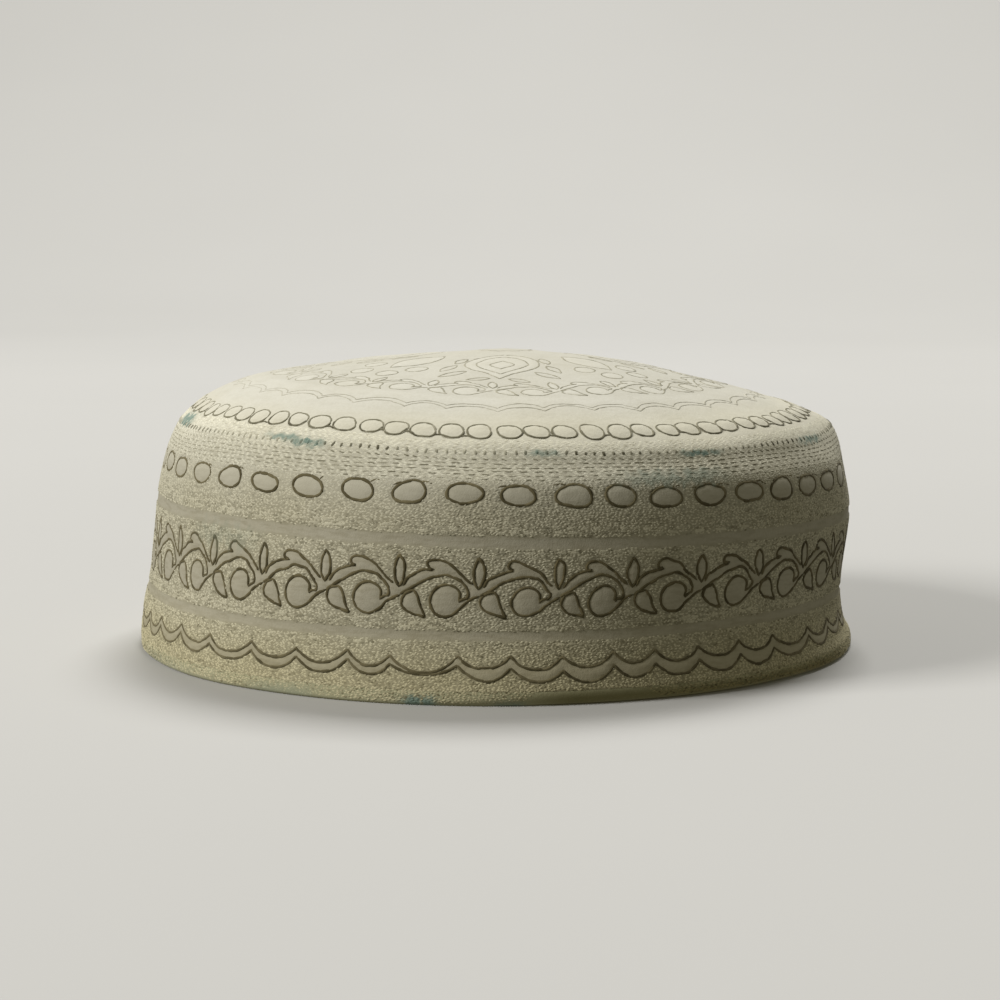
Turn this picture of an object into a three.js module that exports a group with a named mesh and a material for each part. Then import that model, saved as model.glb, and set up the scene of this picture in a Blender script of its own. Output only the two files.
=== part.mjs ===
// Tubeteika skullcap of quilted cotton: an upright side band, a low domed crown and a rolled rim hem.
// Millimetres, +Z up. The front faces -Y, and the origin is the middle of the rim, on the surface it rests on.
import * as THREE from 'three';

// Driving dimensions
const RIM_REACH = 93.2; // axis to the outside of the rim, all round
const CROWN_PEAK = 76.2; // height of the crown's highest point
const WALL = 2.6; // two cotton layers with cord wadding quilted between them
const SEAM_GAP = 0.3; // clearance between pieces that are sewn together

// The rolled hem along the rim
const HEM_HEIGHT = 3.2;
const HEM_DEPTH = 3.0; // from its outside face to its inside face
const HEM_FOOT_RADIUS = 0.7; // rounding of the two edges that meet the table
const HEM_TOP_RADIUS = 1.0; // rounding of the two edges under the band

// How finely the walls are faceted
const RING_STEPS = 72;
const BAND_ROWS = 13;
const CROWN_ROWS = 11;
const HEM_ARC_STEPS = 2;

// Sections of the outside, from the rim to the peak. Each is a ring that leans a little: its height and
// its reach from the axis are given where the front view shows the outline, on the left and on the right.
// The left wall leans in evenly, the right wall has a shallow dent low down and a fuller shoulder.
const OUTSIDE = [
  { at: 'hem top', leftHeight: 3.5, rightHeight: 3.5, leftReach: 92.7, rightReach: 92.2 },
  { at: 'scallop line', leftHeight: 9.6, rightHeight: 9.4, leftReach: 92.0, rightReach: 90.7 },
  { at: 'lower plain strip', leftHeight: 16.2, rightHeight: 15.8, leftReach: 90.9, rightReach: 90.1 },
  { at: 'vine', leftHeight: 27.6, rightHeight: 25.6, leftReach: 89.8, rightReach: 91.0 },
  { at: 'upper plain strip', leftHeight: 39.6, rightHeight: 36.0, leftReach: 88.2, rightReach: 91.7 },
  { at: 'oval row', leftHeight: 49.2, rightHeight: 46.2, leftReach: 86.5, rightReach: 90.2 },
  { at: 'shoulder foot', leftHeight: 56.0, rightHeight: 54.0, leftReach: 83.9, rightReach: 88.4 },
  { at: 'seam', leftHeight: 60.8, rightHeight: 58.9, leftReach: 80.2, rightReach: 84.6 },
  { at: 'shoulder top', leftHeight: 65.4, rightHeight: 62.1, leftReach: 73.2, rightReach: 75.4 },
  { at: 'plain ring', leftHeight: 69.5, rightHeight: 66.0, leftReach: 62.4, rightReach: 63.4 },
  { at: 'medallion edge', leftHeight: 71.9, rightHeight: 69.8, leftReach: 47.0, rightReach: 48.4 },
  { at: 'medallion', leftHeight: 74.3, rightHeight: 73.8, leftReach: 27.0, rightReach: 30.2 },
  { at: 'rosette', leftHeight: 75.5, rightHeight: 75.4, leftReach: 10.0, rightReach: 14.6 },
  { at: 'peak', leftHeight: CROWN_PEAK, rightHeight: CROWN_PEAK, leftReach: -2.4, rightReach: 2.4 },
];
const LAST_SECTION = OUTSIDE.length - 1;
const SEAM_SHARE = OUTSIDE.findIndex((section) => section.at === 'seam') / LAST_SECTION;

// Smooth left and right outlines through the sections, which share one running share from 0 to 1
const leftOutline = new THREE.SplineCurve(
  OUTSIDE.map((section) => new THREE.Vector2(section.leftReach, section.leftHeight)),
);
const rightOutline = new THREE.SplineCurve(
  OUTSIDE.map((section) => new THREE.Vector2(section.rightReach, section.rightHeight)),
);

// The section at a share of the way from hem to peak, set inwards from the outside along the wall's normal.
function sectionAt(share, inset) {
  const [left, right] = [leftOutline, rightOutline].map((outline) => {
    const point = outline.getPoint(share);
    const along = outline.getTangent(share);
    const inwards = new THREE.Vector2(-along.y, along.x);
    return point.addScaledVector(inwards, inset);
  });
  return { leftHeight: left.y, rightHeight: right.y, leftReach: left.x, rightReach: right.x };
}

// The peak, where a ring shrinks to one point.
function peakSection(inset) {
  const peak = OUTSIDE[LAST_SECTION];
  return { ...peak, leftHeight: CROWN_PEAK - inset, rightHeight: CROWN_PEAK - inset };
}

function ringRadius(section) {
  return (section.leftReach + section.rightReach) / 2;
}

// One point of a section's ring. The ring is a circle whose centre and height follow its two sides.
function ringPoint(section, step) {
  const azimuth = (2 * Math.PI * step) / RING_STEPS;
  const centre = (section.rightReach - section.leftReach) / 2;
  const height = (section.rightHeight + section.leftHeight) / 2;
  const lean = (section.rightHeight - section.leftHeight) / 2;
  const radius = ringRadius(section);
  return [
    centre + radius * Math.cos(azimuth),
    radius * Math.sin(azimuth),
    height + lean * Math.cos(azimuth),
  ];
}

// A closed skin over a run of sections. A ring wall closes on its first section, and a dome ends in its peaks.
function loft(sections, closesOnFirst) {
  const positions = sections.flatMap((section) =>
    Array.from({ length: RING_STEPS }, (_, step) => ringPoint(section, step)).flat(),
  );
  const isPeak = sections.map((section) => Math.abs(ringRadius(section)) < 1e-6);
  const strips = closesOnFirst ? sections.length : sections.length - 1;
  const triangles = [];
  for (let low = 0; low < strips; low += 1) {
    const high = (low + 1) % sections.length;
    for (let step = 0; step < RING_STEPS; step += 1) {
      const next = (step + 1) % RING_STEPS;
      const lowHere = low * RING_STEPS + step;
      const lowNext = low * RING_STEPS + next;
      const highHere = high * RING_STEPS + step;
      const highNext = high * RING_STEPS + next;
      if (!isPeak[low]) triangles.push(lowHere, lowNext, highNext);
      if (!isPeak[high]) triangles.push(lowHere, highNext, highHere);
    }
  }
  const geometry = new THREE.BufferGeometry();
  geometry.setAttribute('position', new THREE.Float32BufferAttribute(positions, 3));
  geometry.setIndex(triangles);
  geometry.computeVertexNormals();
  return geometry;
}

// Evenly spaced shares between two ends, both included.
function sharesBetween(first, last, count) {
  return Array.from({ length: count }, (_, row) => first + ((last - first) * row) / (count - 1));
}

// The share of the outline that half the seam's clearance takes up.
function halfSeamShare() {
  const probe = 0.002;
  const speeds = [leftOutline, rightOutline].map((outline) => {
    const before = outline.getPoint(SEAM_SHARE - probe);
    return outline.getPoint(SEAM_SHARE + probe).distanceTo(before) / (2 * probe);
  });
  return SEAM_GAP / 2 / Math.min(...speeds);
}

// The side band: an upright wall from the hem to the seam, open below and above.
function bandGeometry() {
  const shares = sharesBetween(0, SEAM_SHARE - halfSeamShare(), BAND_ROWS);
  const outside = shares.map((share) => sectionAt(share, 0));
  const inside = shares.map((share) => sectionAt(share, WALL)).reverse();
  return loft([...outside, ...inside], true);
}

// The crown: a low dome from the seam to the peak, hollow underneath.
function crownGeometry() {
  const shares = sharesBetween(SEAM_SHARE + halfSeamShare(), 1, CROWN_ROWS).slice(0, -1);
  const outside = [...shares.map((share) => sectionAt(share, 0)), peakSection(0)];
  const inside = [...shares.map((share) => sectionAt(share, WALL)), peakSection(WALL)].reverse();
  return loft([...inside, ...outside], false);
}

// The hem's section: a rounded strip, flat where it rests and flat under the band.
function hemOutline() {
  const outside = RIM_REACH;
  const inside = RIM_REACH - HEM_DEPTH;
  const foot = HEM_FOOT_RADIUS;
  const top = HEM_TOP_RADIUS;
  const quarter = Math.PI / 2;
  const outline = new THREE.Path();
  outline.moveTo(outside - foot, 0);
  outline.absarc(outside - foot, foot, foot, -quarter, 0, false);
  outline.lineTo(outside, HEM_HEIGHT - top);
  outline.absarc(outside - top, HEM_HEIGHT - top, top, 0, quarter, false);
  outline.lineTo(inside + top, HEM_HEIGHT);
  outline.absarc(inside + top, HEM_HEIGHT - top, top, quarter, 2 * quarter, false);
  outline.lineTo(inside, foot);
  outline.absarc(inside + foot, foot, foot, 2 * quarter, 3 * quarter, false);
  return outline.getPoints(HEM_ARC_STEPS);
}

// The rolled hem: a closed ring under the band that the cap rests on.
function hemGeometry() {
  const rings = hemOutline().map((corner) => ({
    leftHeight: corner.y,
    rightHeight: corner.y,
    leftReach: corner.x,
    rightReach: corner.x,
  }));
  return loft(rings, true);
}

// Unbleached cotton, a little paler on the crown and greyer on the worn hem
function cotton(color) {
  return new THREE.MeshStandardMaterial({ color, roughness: 0.95, metalness: 0 });
}

function piece(name, geometry, color) {
  const mesh = new THREE.Mesh(geometry, cotton(color));
  mesh.name = name;
  return mesh;
}

const skullcap = new THREE.Group();
skullcap.add(piece('crown', crownGeometry(), '#d8d4c2'));
skullcap.add(piece('band', bandGeometry(), '#c3bd9f'));
skullcap.add(piece('rim_hem', hemGeometry(), '#b9b59c'));

export default skullcap;
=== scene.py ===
"""A quilted cotton tubeteika: cloth skins with puffed motifs, sewn outlines and stipple stitches.

Lengths are in millimetres until a mesh is made. A place on the cap is a bearing in degrees, from the front
towards the right of the photo, and a run: the distance up the wall and over the crown, from the hem's top.
"""

import bpy
import numpy as np
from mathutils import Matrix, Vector, kdtree


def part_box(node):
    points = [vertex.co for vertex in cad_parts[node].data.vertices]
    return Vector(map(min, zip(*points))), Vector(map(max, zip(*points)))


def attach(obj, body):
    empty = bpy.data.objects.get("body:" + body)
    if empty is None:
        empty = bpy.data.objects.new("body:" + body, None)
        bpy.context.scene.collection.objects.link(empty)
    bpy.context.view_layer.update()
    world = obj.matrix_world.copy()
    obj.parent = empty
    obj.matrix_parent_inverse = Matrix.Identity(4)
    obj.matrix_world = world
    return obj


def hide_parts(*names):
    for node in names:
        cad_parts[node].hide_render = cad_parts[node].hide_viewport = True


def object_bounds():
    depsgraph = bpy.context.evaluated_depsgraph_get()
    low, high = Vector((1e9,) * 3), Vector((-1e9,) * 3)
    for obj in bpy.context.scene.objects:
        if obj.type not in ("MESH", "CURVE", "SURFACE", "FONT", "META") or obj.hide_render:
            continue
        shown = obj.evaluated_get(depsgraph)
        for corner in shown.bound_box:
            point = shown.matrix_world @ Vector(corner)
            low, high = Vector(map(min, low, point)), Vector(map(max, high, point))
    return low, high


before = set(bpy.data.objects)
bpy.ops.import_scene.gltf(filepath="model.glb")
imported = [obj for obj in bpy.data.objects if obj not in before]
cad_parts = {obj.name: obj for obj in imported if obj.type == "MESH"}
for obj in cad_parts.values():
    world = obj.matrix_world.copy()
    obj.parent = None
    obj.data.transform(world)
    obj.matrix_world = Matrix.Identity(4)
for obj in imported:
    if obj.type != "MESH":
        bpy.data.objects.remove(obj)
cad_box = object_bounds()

MM = 0.001
SEED = 11
BODY = "root"

# The photo's camera: where it stands, how far it looks down, and its lens
CAMERA_PLACE = (1.0, -617.3, 109.6)
CAMERA_DOWN_DEG = 6.78
CAMERA_LENS = 85.0

# The cloth
WALL = 2.6  # quilted wall, from outside to inside
PUFF = 0.16  # how far a plain motif stands out of the stippled ground
GROOVE = 0.14  # how deep an outline's stitches pull the cloth in
SUNK_STRIP = 0.12  # how far the plain strips lie below the stitched ground
SHOULDER_ROLL = (0.7, -1.4)  # how far the shoulder swells at its foot and draws in above, on the right
SHOULDER_ROLL_BEARINGS = (-38, -5, 65, 85)  # where the roll begins, is full, begins to fade and has gone
SHOULDER_ROLL_HEIGHTS = (32, 48.5, 56.5, 67)
HEM_ROLLS = (0.9, 2.7)  # radius of the rim's turned edge: in general, and where it is slack
HEM_SLACK_BEARINGS = (-14, 8, 45, 75)
OUTLINE_LIT_BEARINGS = (-150, -110, -68, -38)  # bearings where the dark outlines are thinner, and paler with painted light, on the lit left side
# Bearings where the shoulder's dark stitches and the ticks are paler with painted light, on the lit left side
DASHES_LIT_BEARINGS = (-150, -110, -50, -14)
# Painted shade on the turned edge at the front right: its bearings, and the heights over which it fades out
RIM_SHADE_BEARINGS = (1, 12, 58, 78)
RIM_SHADE_HEIGHTS = (1.4, 4.6)
BARE_FOLD = (2, 7, 20, 27, 3.6)  # bearings where the turned edge has no stitches, and up to what height
CALM_RADIUS = 55.0  # within it the waves of the wall die out towards the peak
SIDE_SHIFTS = [  # bearings and heights between which the wall stands out or in, and by how much
    ((50, 80, 110, 150), (-9, -1, 1.5, 6.5), 1.0),
    ((-150, -110, -70, -45), (12, 21, 30, 40), -0.5),
]
WAVES = [  # slow waves of the wall: height, how many right round, twist with the run, phase
    (0.22, 3, 0.06, 0.0),
    (0.16, 7, -0.11, 1.3),
    (0.1, 13, 0.23, 0.4),
]
CROWN_SUNK = 0.35  # how far the crown has sunk behind its peak
CROWN_SUNK_BEHIND = (-6, 14, 48, 64)
CROWN_SUNK_ACROSS = (-62, -45, 45, 62)
CROWN_HOLLOWS = [(0.3, -36, -25, -13, -4), (0.55, 5, 13, 25, 37)]  # further depths, and where across
MOTIF_SLOPE = 0.9  # how far from its outline a motif reaches its full puff
GROOVE_REACH = 0.5
SEAM_BLUR = (-2, 4)  # runs from the seam between which the ground turns into the crown's
FLATTER_MOTIFS = (75, 70)  # plan radii between which the crown's motifs become flatter
FLATTER_BY = 0.55
SMOOTH_RING = (62, 60)  # plan radii where the crown's smooth ring ends

# The band's ornament, as heights at the front
FRONT_CUSPS = [  # bearings, as uneven as they were drawn
    -56.5, -48, -38.5, -30, -21.5, -15, -5, 2.5, 10, 17.5, 24, 31.5, 39.5, 47, 57, 65.5
]
BACK_SCALLOPS = 29
SCALLOP_UPPER = (11.4, 8.5)  # cusp and valley of the upper line
SCALLOP_LOWER = (9.4, 6.5)  # cusp and valley of the lower line
SCALLOP_PINCHED = 5  # the scallop whose two lines nearly meet
SCALLOP_PINCH = 0.8
SCALLOP_WIDER = (-4, 8, 42, 62, 1.1)  # bearings where the ribbon between the lines is wider, and by how much
LOWER_STRIP = (14.8, 16.9)  # plain strip, from and to
UPPER_STRIP = (35.9, 38.5)
VINE_REPEATS = 31
VINE_HEIGHT = 25.6  # of the crossings
VINE_FIRST = -3.0  # bearing of the crossing at the front
VINE_WOBBLE = 0.2  # how far a hand strays from the chart
VINE_MOVED = [((5, 25, 36, 62), (-0.75, 0))]  # bearings between which it lies askew, and how far round and up
OVALS_MOVED = [((8, 25, 55, 80), (-0.7, -0.7))]
SMALL_OVALS_MOVED = [((0, 40, 110, 170), (0, 1.0)), ((-150, -90, -40, -5), (0, -0.5))]
OVALS = 45
OVAL_HEIGHT = 47.8
OVAL_SIZE = (8.3, 4.8)
OVAL_FIRST = 2.3
OVAL_SHAPE = (0.09, 0.95)  # how much the ovals' sizes vary, and how square they are
OVAL_SWAY = 1.0  # how far, in degrees, the ovals crowd together away from the front
STIPPLE_TOP = 51.3  # above it the ground is sewn in rows
SHOULDER_ROWS = (50.9, 60.4)  # heights of the first and the last row
SHOULDER_ROW = 0.44  # spacing of the rows

# The crown's ornament, as plan radii
SMALL_OVALS = 75
SMALL_OVAL_RADIUS = 78.4
SMALL_OVAL_SIZE = (5.8, 5.2)
SMALL_OVAL_FIRST = 1.0
SMALL_OVAL_SHAPE = (0.1, 0.9)
CROWN_SCALLOPS = 37
CROWN_SCALLOP_OUTER = (69.4, 67.2)  # cusp and valley of the outer line
CROWN_SCALLOP_INNER = (67.8, 65.6)
CROWN_VINE_REPEATS = 22
CROWN_VINE_RADIUS = 55.2  # of the crossings
CROWN_VINE_FIRST = -1.5
PETALS = 4

# One repeat of the vine, from the middle of its crossing: along the wall and up it. Each list is a smooth
# stretch of outline, and stretches meet in corners.
VINE_REPEAT = 18.2
BUD_LEFT = [(0.2, 1.1), (-0.75, 2.5), (-1.2, 4.5), (-0.95, 6.5), (-0.3, 8.0)]
BUD_RIGHT = [(-0.3, 8.0), (0.75, 6.8), (1.3, 5.0), (1.2, 3.0), (0.2, 1.1)]
LEAF_LEFT = [(3.7, 0.3), (1.6, -0.5), (1.0, -1.8), (1.7, -3.3), (3.3, -4.4), (5.1, -5.0), (7.1, -5.5)]
LEAF_RIGHT = [(7.1, -5.5), (5.9, -3.6), (5.2, -1.8), (4.4, -0.2), (3.7, 0.3)]
CREST_RISE = [(1.3, 1.2), (2.0, 2.8), (3.7, 4.0), (5.4, 4.8), (7.9, 5.2)]
CREST_FALL = [
    (7.9, 5.2), (6.4, 5.7), (6.3, 6.5), (7.2, 7.2), (8.4, 7.3), (10.0, 6.9),
    (11.9, 6.0), (13.6, 4.8), (15.3, 3.2), (17.2, 1.7),
]
STEM_RISE = [
    (0.6, -0.7), (2.3, 0.4), (5.1, 2.1), (7.2, 3.1), (9.6, 3.9), (11.4, 4.0), (13.0, 3.5),
    (14.5, 2.4), (15.7, 1.0), (16.4, -0.3), (16.1, -1.1), (15.2, -1.4), (14.2, -2.0),
]
DISC_CENTRE = (11.3, -1.8)
DISC_RADIUS = 3.5
DISC_ARC_DEG = (-3, 268)
STEM_OUT = [(13.0, -4.85), (14.5, -3.75), (15.8, -2.5), (17.1, -1.45), (18.8, -0.7)]
CROSSING_TOP = (0.2, 1.0)

# One petal of the crown's medallion, as half outlines: across from its middle line and out from the peak
PETAL = [(0.0, 15.5), (4.2, 18.5), (8.0, 24.0), (9.4, 30.0), (7.4, 36.0), (3.2, 40.5), (0.0, 45.0)]
PETAL_INNER = [(0.0, 20.0), (3.2, 22.5), (5.8, 27.0), (6.4, 30.5), (4.8, 35.0), (2.0, 38.4), (0.0, 41.0)]
PETAL_DIAMOND = [(0.0, 27.0), (3.0, 31.5), (0.0, 36.0)]
SIDE_LEAF = [(0.0, 21.0), (3.6, 26.0), (4.4, 30.5), (2.6, 35.5), (0.0, 39.0)]
SIDE_CURL_CENTRES = [(-7.6, 37.0), (7.6, 37.0), (-4.6, 44.0), (4.6, 44.0)]
SIDE_CURL_RADIUS = 2.7
# Small leaves on both sides of a petal: across and out to their middles, length, width and lean outwards
SPRIGS = [
    (11.6, 40.5, 8.0, 3.0, 55),
    (13.0, 33.5, 7.5, 2.8, 30),
    (10.4, 25.0, 7.0, 2.6, 20),
    (5.0, 46.0, 6.0, 2.2, 70),
]
ROSETTE_RADIUS = 6.0
ROSETTE_LOBES = 8
ROSETTE_BULGE = 0.22

# Rows of running stitches along the plain strips: height, stitch length, gap
EDGE_ROWS = [
    (14.0, 2.4, 0.5),
    (17.6, 2.8, 0.6),
    (18.6, 2.3, 0.5),
    (34.0, 2.3, 0.5),
    (35.0, 2.9, 0.5),
    (39.4, 2.9, 0.5),
    (40.4, 2.4, 0.6),
]
ROW_STITCH = (1.2, 1.9)  # shortest and longest stitch of the shoulder's rows
ROW_GAP = 0.1
ROW_SLANT = 0.16
ROW_CLEARANCE = 0.6  # between a row's stitch and an outline
DASH_ROWS = [  # running stitches along the shoulder, dark with painted shade: height, stitch length, gap
    (51.2, 1.7, 1.6),
    (52.2, 2.0, 1.1),
    (53.2, 2.6, 0.6),
    (54.1, 2.7, 0.5),
    (55.1, 2.7, 0.6),
]
COMMA_ROW = (56.2, 1.5, 0.8)  # slanting stitches above them, dark with the same painted shade
COMMA_SLANT = -0.3
TICK_ROW = (57.8, 2.3, 1.5)  # upright dark ticks along the seam: height, spacing, length
TICK_GROUPS = 9  # how often, right round, the ticks turn dark and fade again

# Faded dye marks: bearing, height, half width in degrees, half height, strength
STAINS = [
    (-74, 58.8, 4.5, 1.2, 1.3),
    (-33, 57.6, 3.2, 0.8, 1.25),
    (-38, 58.4, 3.8, 0.55, 0.9),
    (6, 57.6, 2.6, 0.7, 0.7),
    (33, 57.0, 4.0, 0.7, 1.1),
    (27, 51.4, 9.0, 1.8, 0.55),
    (64, 57.2, 5.0, 0.9, 1.1),
    (-47, 34.0, 8.0, 2.6, 0.2),
    (-61, 1.2, 12.0, 1.2, 0.22),
    (-11, 0.3, 2.6, 1.5, 1.3),
    (2, 0.0, 2.4, 1.0, 0.9),
    (-33, 1.0, 6.0, 1.2, 0.35),
    (150, 58.0, 6.0, 0.8, 0.6),
    (-140, 30.0, 10.0, 3.0, 0.2),
]

# Thread: half width and height of an outline's stitches, by where it is sewn
VINE_THREAD = (0.46, 0.2)
SCALLOP_THREAD = (0.44, 0.2)
OVAL_THREAD = (0.5, 0.2)
TAIL_THREAD = (0.24, 0.18)
SMALL_OVAL_UPPER_THREAD = (0.3, 0.15)
SMALL_OVAL_LOWER_THREAD = (0.36, 0.2)
CROWN_THREAD = (0.3, 0.13)
CROWN_SCALLOP_THREAD = (0.24, 0.13)
OUTLINE_STITCH = 2.3  # length of one back stitch in an outline
LINE_STEP = 0.5
STIPPLE_ROW = 0.35  # spacing of the rows of stipple stitches
STIPPLE_STITCH = 1.05
STIPPLE_PITCH = 1.05
STIPPLE_VARIES = (0.8, 1.15)
STIPPLE_SLANT = 0.36  # spread of the stitches' angles, and the steepest
STIPPLE_STEEPEST = 1.1
STIPPLE_CLEARANCE = 0.36  # between a stitch and an outline
STIPPLE_THREAD = (0.23, 0.095)
GAP_ROW = 0.6  # spacing of the short stitches that fill gaps, up the wall and along it
GAP_PITCH = 0.7
GAP_FREE = 0.6  # how far the nearest stitch is from a gap's middle
GAP_STITCH = (0.6, 0.9)
GAP_SLANT = 0.7
GAP_CLEARANCE = 0.3
EDGE_THREAD = (0.36, 0.065)
ROW_THREAD = (0.27, 0.055)
DASH_THREAD = (0.16, 0.06)
TICK_THREAD = (0.32, 0.1)
STITCH_REST = 0.8  # how high a stitch lies on the cloth, as a share of its height
DASH_REST = 1.3
THREAD_RINGS = (-0.3, 0.3)  # where along its length a stitch is full
SHORT_RINGS = (0.0,)
STITCH_CREASE_DEG = 75  # a stitch is round on top and creased along its feet
SKIN_CREASE_DEG = 50
THREAD_SUNK = 0.08  # how deep an outline's thread lies in the cloth
THREAD_VARIES = (0.82, 1.15)  # from one stitch of an outline to the next
THREAD_TIP = (0.25, 0.8)  # how thick an open line's ends are, and the length over which they taper
LIT_THINNER = 0.25  # how much thinner an outline is on the lit left side, and how much paler with painted light
LIT_PALER = 0.6

rng = np.random.default_rng(SEED)


# Curves and the cap's form

def hermite(knots, values, slopes, at):
    """Values between the knots, on smooth cubics."""
    low = np.clip(np.searchsorted(knots, at, side="right") - 1, 0, len(knots) - 2)
    width = (knots[low + 1] - knots[low])[..., None]
    t = (np.asarray(at) - knots[low])[..., None] / width
    rise = t * t * (3 - 2 * t)
    return (
        values[low] * (1 - rise)
        + values[low + 1] * rise
        + slopes[low] * width * t * (1 - t) ** 2
        - slopes[low + 1] * width * t * t * (1 - t)
    )


def reaches(points):
    """How far along a line each of its points is."""
    return np.concatenate([[0], np.cumsum(np.linalg.norm(np.diff(points, axis=0), axis=1))])


def curve(points, step=LINE_STEP):
    """A smooth stretch through a few points, with a point about every step."""
    points = np.array(points, float)
    knots = reaches(points)
    slopes = np.gradient(points, knots, axis=0)
    count = max(3, int(np.ceil(knots[-1] / step)) + 1)
    return hermite(knots, points, slopes, np.linspace(0, knots[-1], count))


def joined(*stretches):
    """Stretches of one outline, without the corners that follow each other twice."""
    return np.concatenate([stretches[0], *(stretch[1:] for stretch in stretches[1:])])


def smoothstep(low, high, value):
    t = np.clip((value - low) / (high - low), 0, 1)
    return t * t * (3 - 2 * t)


def hump(value, begins, full, fades, gone):
    """A rise from 0 to 1 and a fall back to 0, at four places along the way."""
    return smoothstep(begins, full, value) * (1 - smoothstep(fades, gone, value))


def normals(place, bearing, run, highest, step):
    """Outward normals of a wall. At the peak itself they are those of the slope beside it."""
    run = np.minimum(run, highest)
    along = place(bearing + step, run) - place(bearing - step, run)
    up = place(bearing, run + step) - place(bearing, run - step)
    normal = np.cross(along, up)
    return normal / np.linalg.norm(normal, axis=-1, keepdims=True)


def outside_rings(node, on_plane=1e-6, looks_out=-0.5):
    """A node's outside rings, from the lowest up, as rows of centre, radius, height and lean.

    They are read where the mesh crosses the plane of the front view's outline. Points of the inside are told
    by the faces round them, which look towards the middle of the cap.
    """
    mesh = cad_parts[node].data
    middle = Vector((0, 0, cad_box[1].z / 2))
    facing = {}
    for face in mesh.polygons:
        for index in face.vertices:
            point = mesh.vertices[index].co
            if abs(point.y) < on_plane:
                key = (round(point.x / MM, 3), round(point.z / MM, 3))
                outwards = (point - middle).normalized().dot(face.normal)
                facing[key] = min(outwards, facing.get(key, 1.0))
    outside = [key for key, outwards in facing.items() if outwards > looks_out]
    left = sorted((z, -x) for x, z in outside if x < 0)
    right = sorted((z, x) for x, z in outside if x > 0)
    if len(left) < len(right):  # the peak is one point, a little to the right
        left.append((right[-1][0], -right[-1][1]))
    return [
        ((reach_r - reach_l) / 2, (reach_r + reach_l) / 2, (high_r + high_l) / 2, (high_r - high_l) / 2)
        for (high_l, reach_l), (high_r, reach_r) in zip(left, right)
    ]


class Form:
    """The cap's outside, as rings that lean, from the hem's top to the peak."""

    FINE_STEPS = 3000
    WIDEST = 40  # height above which the radius only shrinks

    def __init__(self, rings):
        self.rings = np.array(rings)
        steps = np.hypot(np.diff(self.rings[:, 1]), np.diff(self.rings[:, 2]))
        self.knots = np.concatenate([[0], np.cumsum(steps)])
        self.slopes = np.gradient(self.rings, self.knots, axis=0)
        self.length = self.knots[-1]
        self.fine_runs = np.linspace(-self.rings[0, 2], self.length, self.FINE_STEPS)
        self.fine_rings = self.ring(self.fine_runs)

    def ring(self, run):
        """The ring at a run. Below the band, where runs are negative, it goes straight down."""
        ring = hermite(self.knots, self.rings, self.slopes, np.clip(run, 0, self.length))
        ring[..., 2] += np.minimum(run, 0)
        return ring

    def at_height(self, height):
        return np.interp(height, self.fine_rings[:, 2], self.fine_runs)

    def at_radius(self, radius):
        over = self.fine_runs > self.at_height(self.WIDEST)
        return np.interp(-np.asarray(radius), -self.fine_rings[over, 1], self.fine_runs[over])

    def radius(self, run):
        return np.interp(run, self.fine_runs, self.fine_rings[:, 1])

    def height(self, run):
        return np.interp(run, self.fine_runs, self.fine_rings[:, 2])

    def degrees_per_mm(self, run):
        return 360 / (2 * np.pi * self.radius(run))

    def point(self, bearing, run):
        angle = np.radians(bearing)
        centre, radius, height, lean = np.moveaxis(self.ring(run), -1, 0)
        return np.stack(
            [centre + radius * np.sin(angle), -radius * np.cos(angle), height + lean * np.sin(angle)], -1
        )

    def out(self, bearing, run):
        return normals(self.point, bearing, run, self.length - 0.6, step=0.05)

    def lifted(self, bearing, run, lift):
        return self.point(bearing, run) + self.out(bearing, run) * np.asarray(lift)[..., None]


form = Form(outside_rings("band") + outside_rings("crown")[1:])
SEAM_RUN = form.knots[len(outside_rings("band")) - 1]


def unroll(bearing, middle):
    """Bearings within half a turn of a middle one."""
    return middle + (np.asarray(bearing) - middle + 180) % 360 - 180


def within(bearing, places):
    """From 0 to 1, how far bearings are within a stretch, given by the four places of a hump."""
    return hump(unroll(bearing, 0), *places)


# Outlines of the ornament, each an array of bearing and run

def hand_drawn(points, wobble):
    """The points of a chart, moved a little as a hand moves them."""
    points = np.array(points, float)
    return points + rng.uniform(-wobble, wobble, points.shape)


def vine_repeat(wobble, arc_points=9):
    """One repeat's outlines in chart millimetres, and the closed edges of its plain cloth."""
    bud_tip, leaf_tip, barb = rng.uniform(-wobble, wobble, (3, 2))

    def stretch(points, first=(0, 0), last=(0, 0)):
        moved = np.array(points, float)
        moved[1:-1] += rng.uniform(-wobble, wobble, (len(points) - 2, 2))
        moved[0] += first
        moved[-1] += last
        return curve(moved)

    turn = np.radians(np.linspace(*DISC_ARC_DEG, arc_points))
    swell = DISC_RADIUS + rng.uniform(-wobble, wobble)
    arc = np.array(DISC_CENTRE) + swell * np.stack([np.cos(turn), np.sin(turn)], -1)
    out = hand_drawn(STEM_OUT[:-1], wobble)
    disc = curve([STEM_RISE[-1], *arc[1:], *out, STEM_OUT[-1]])
    bud = joined(stretch(BUD_LEFT, last=bud_tip), stretch(BUD_RIGHT, first=bud_tip))
    leaf = joined(stretch(LEAF_LEFT, last=leaf_tip), stretch(LEAF_RIGHT, first=leaf_tip))
    crest = joined(stretch(CREST_RISE, last=barb), stretch(CREST_FALL, first=barb))
    stem = joined(stretch(STEM_RISE), disc)
    next_crossing = np.array(CROSSING_TOP) + (VINE_REPEAT, 0)
    body = np.concatenate([[CROSSING_TOP], crest, [next_crossing], stem[::-1]])
    return [bud, leaf, crest, stem], [bud, leaf, body]


def vine_ring(repeats, first, run, wobble):
    """A whole ring of the vine: its outlines, and the edges of its plain cloth."""
    lines, edges = [], []
    scale = 2 * np.pi * form.radius(run) / repeats / VINE_REPEAT
    for repeat in range(repeats):
        def place(points):
            bearing = first + (repeat + points[:, 0] / VINE_REPEAT) * 360 / repeats
            return np.stack([bearing, run + points[:, 1] * scale], -1)

        outlines, bodies = vine_repeat(wobble)
        lines += [place(outline) for outline in outlines]
        edges += [place(body) for body in bodies]
    return lines, edges


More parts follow.
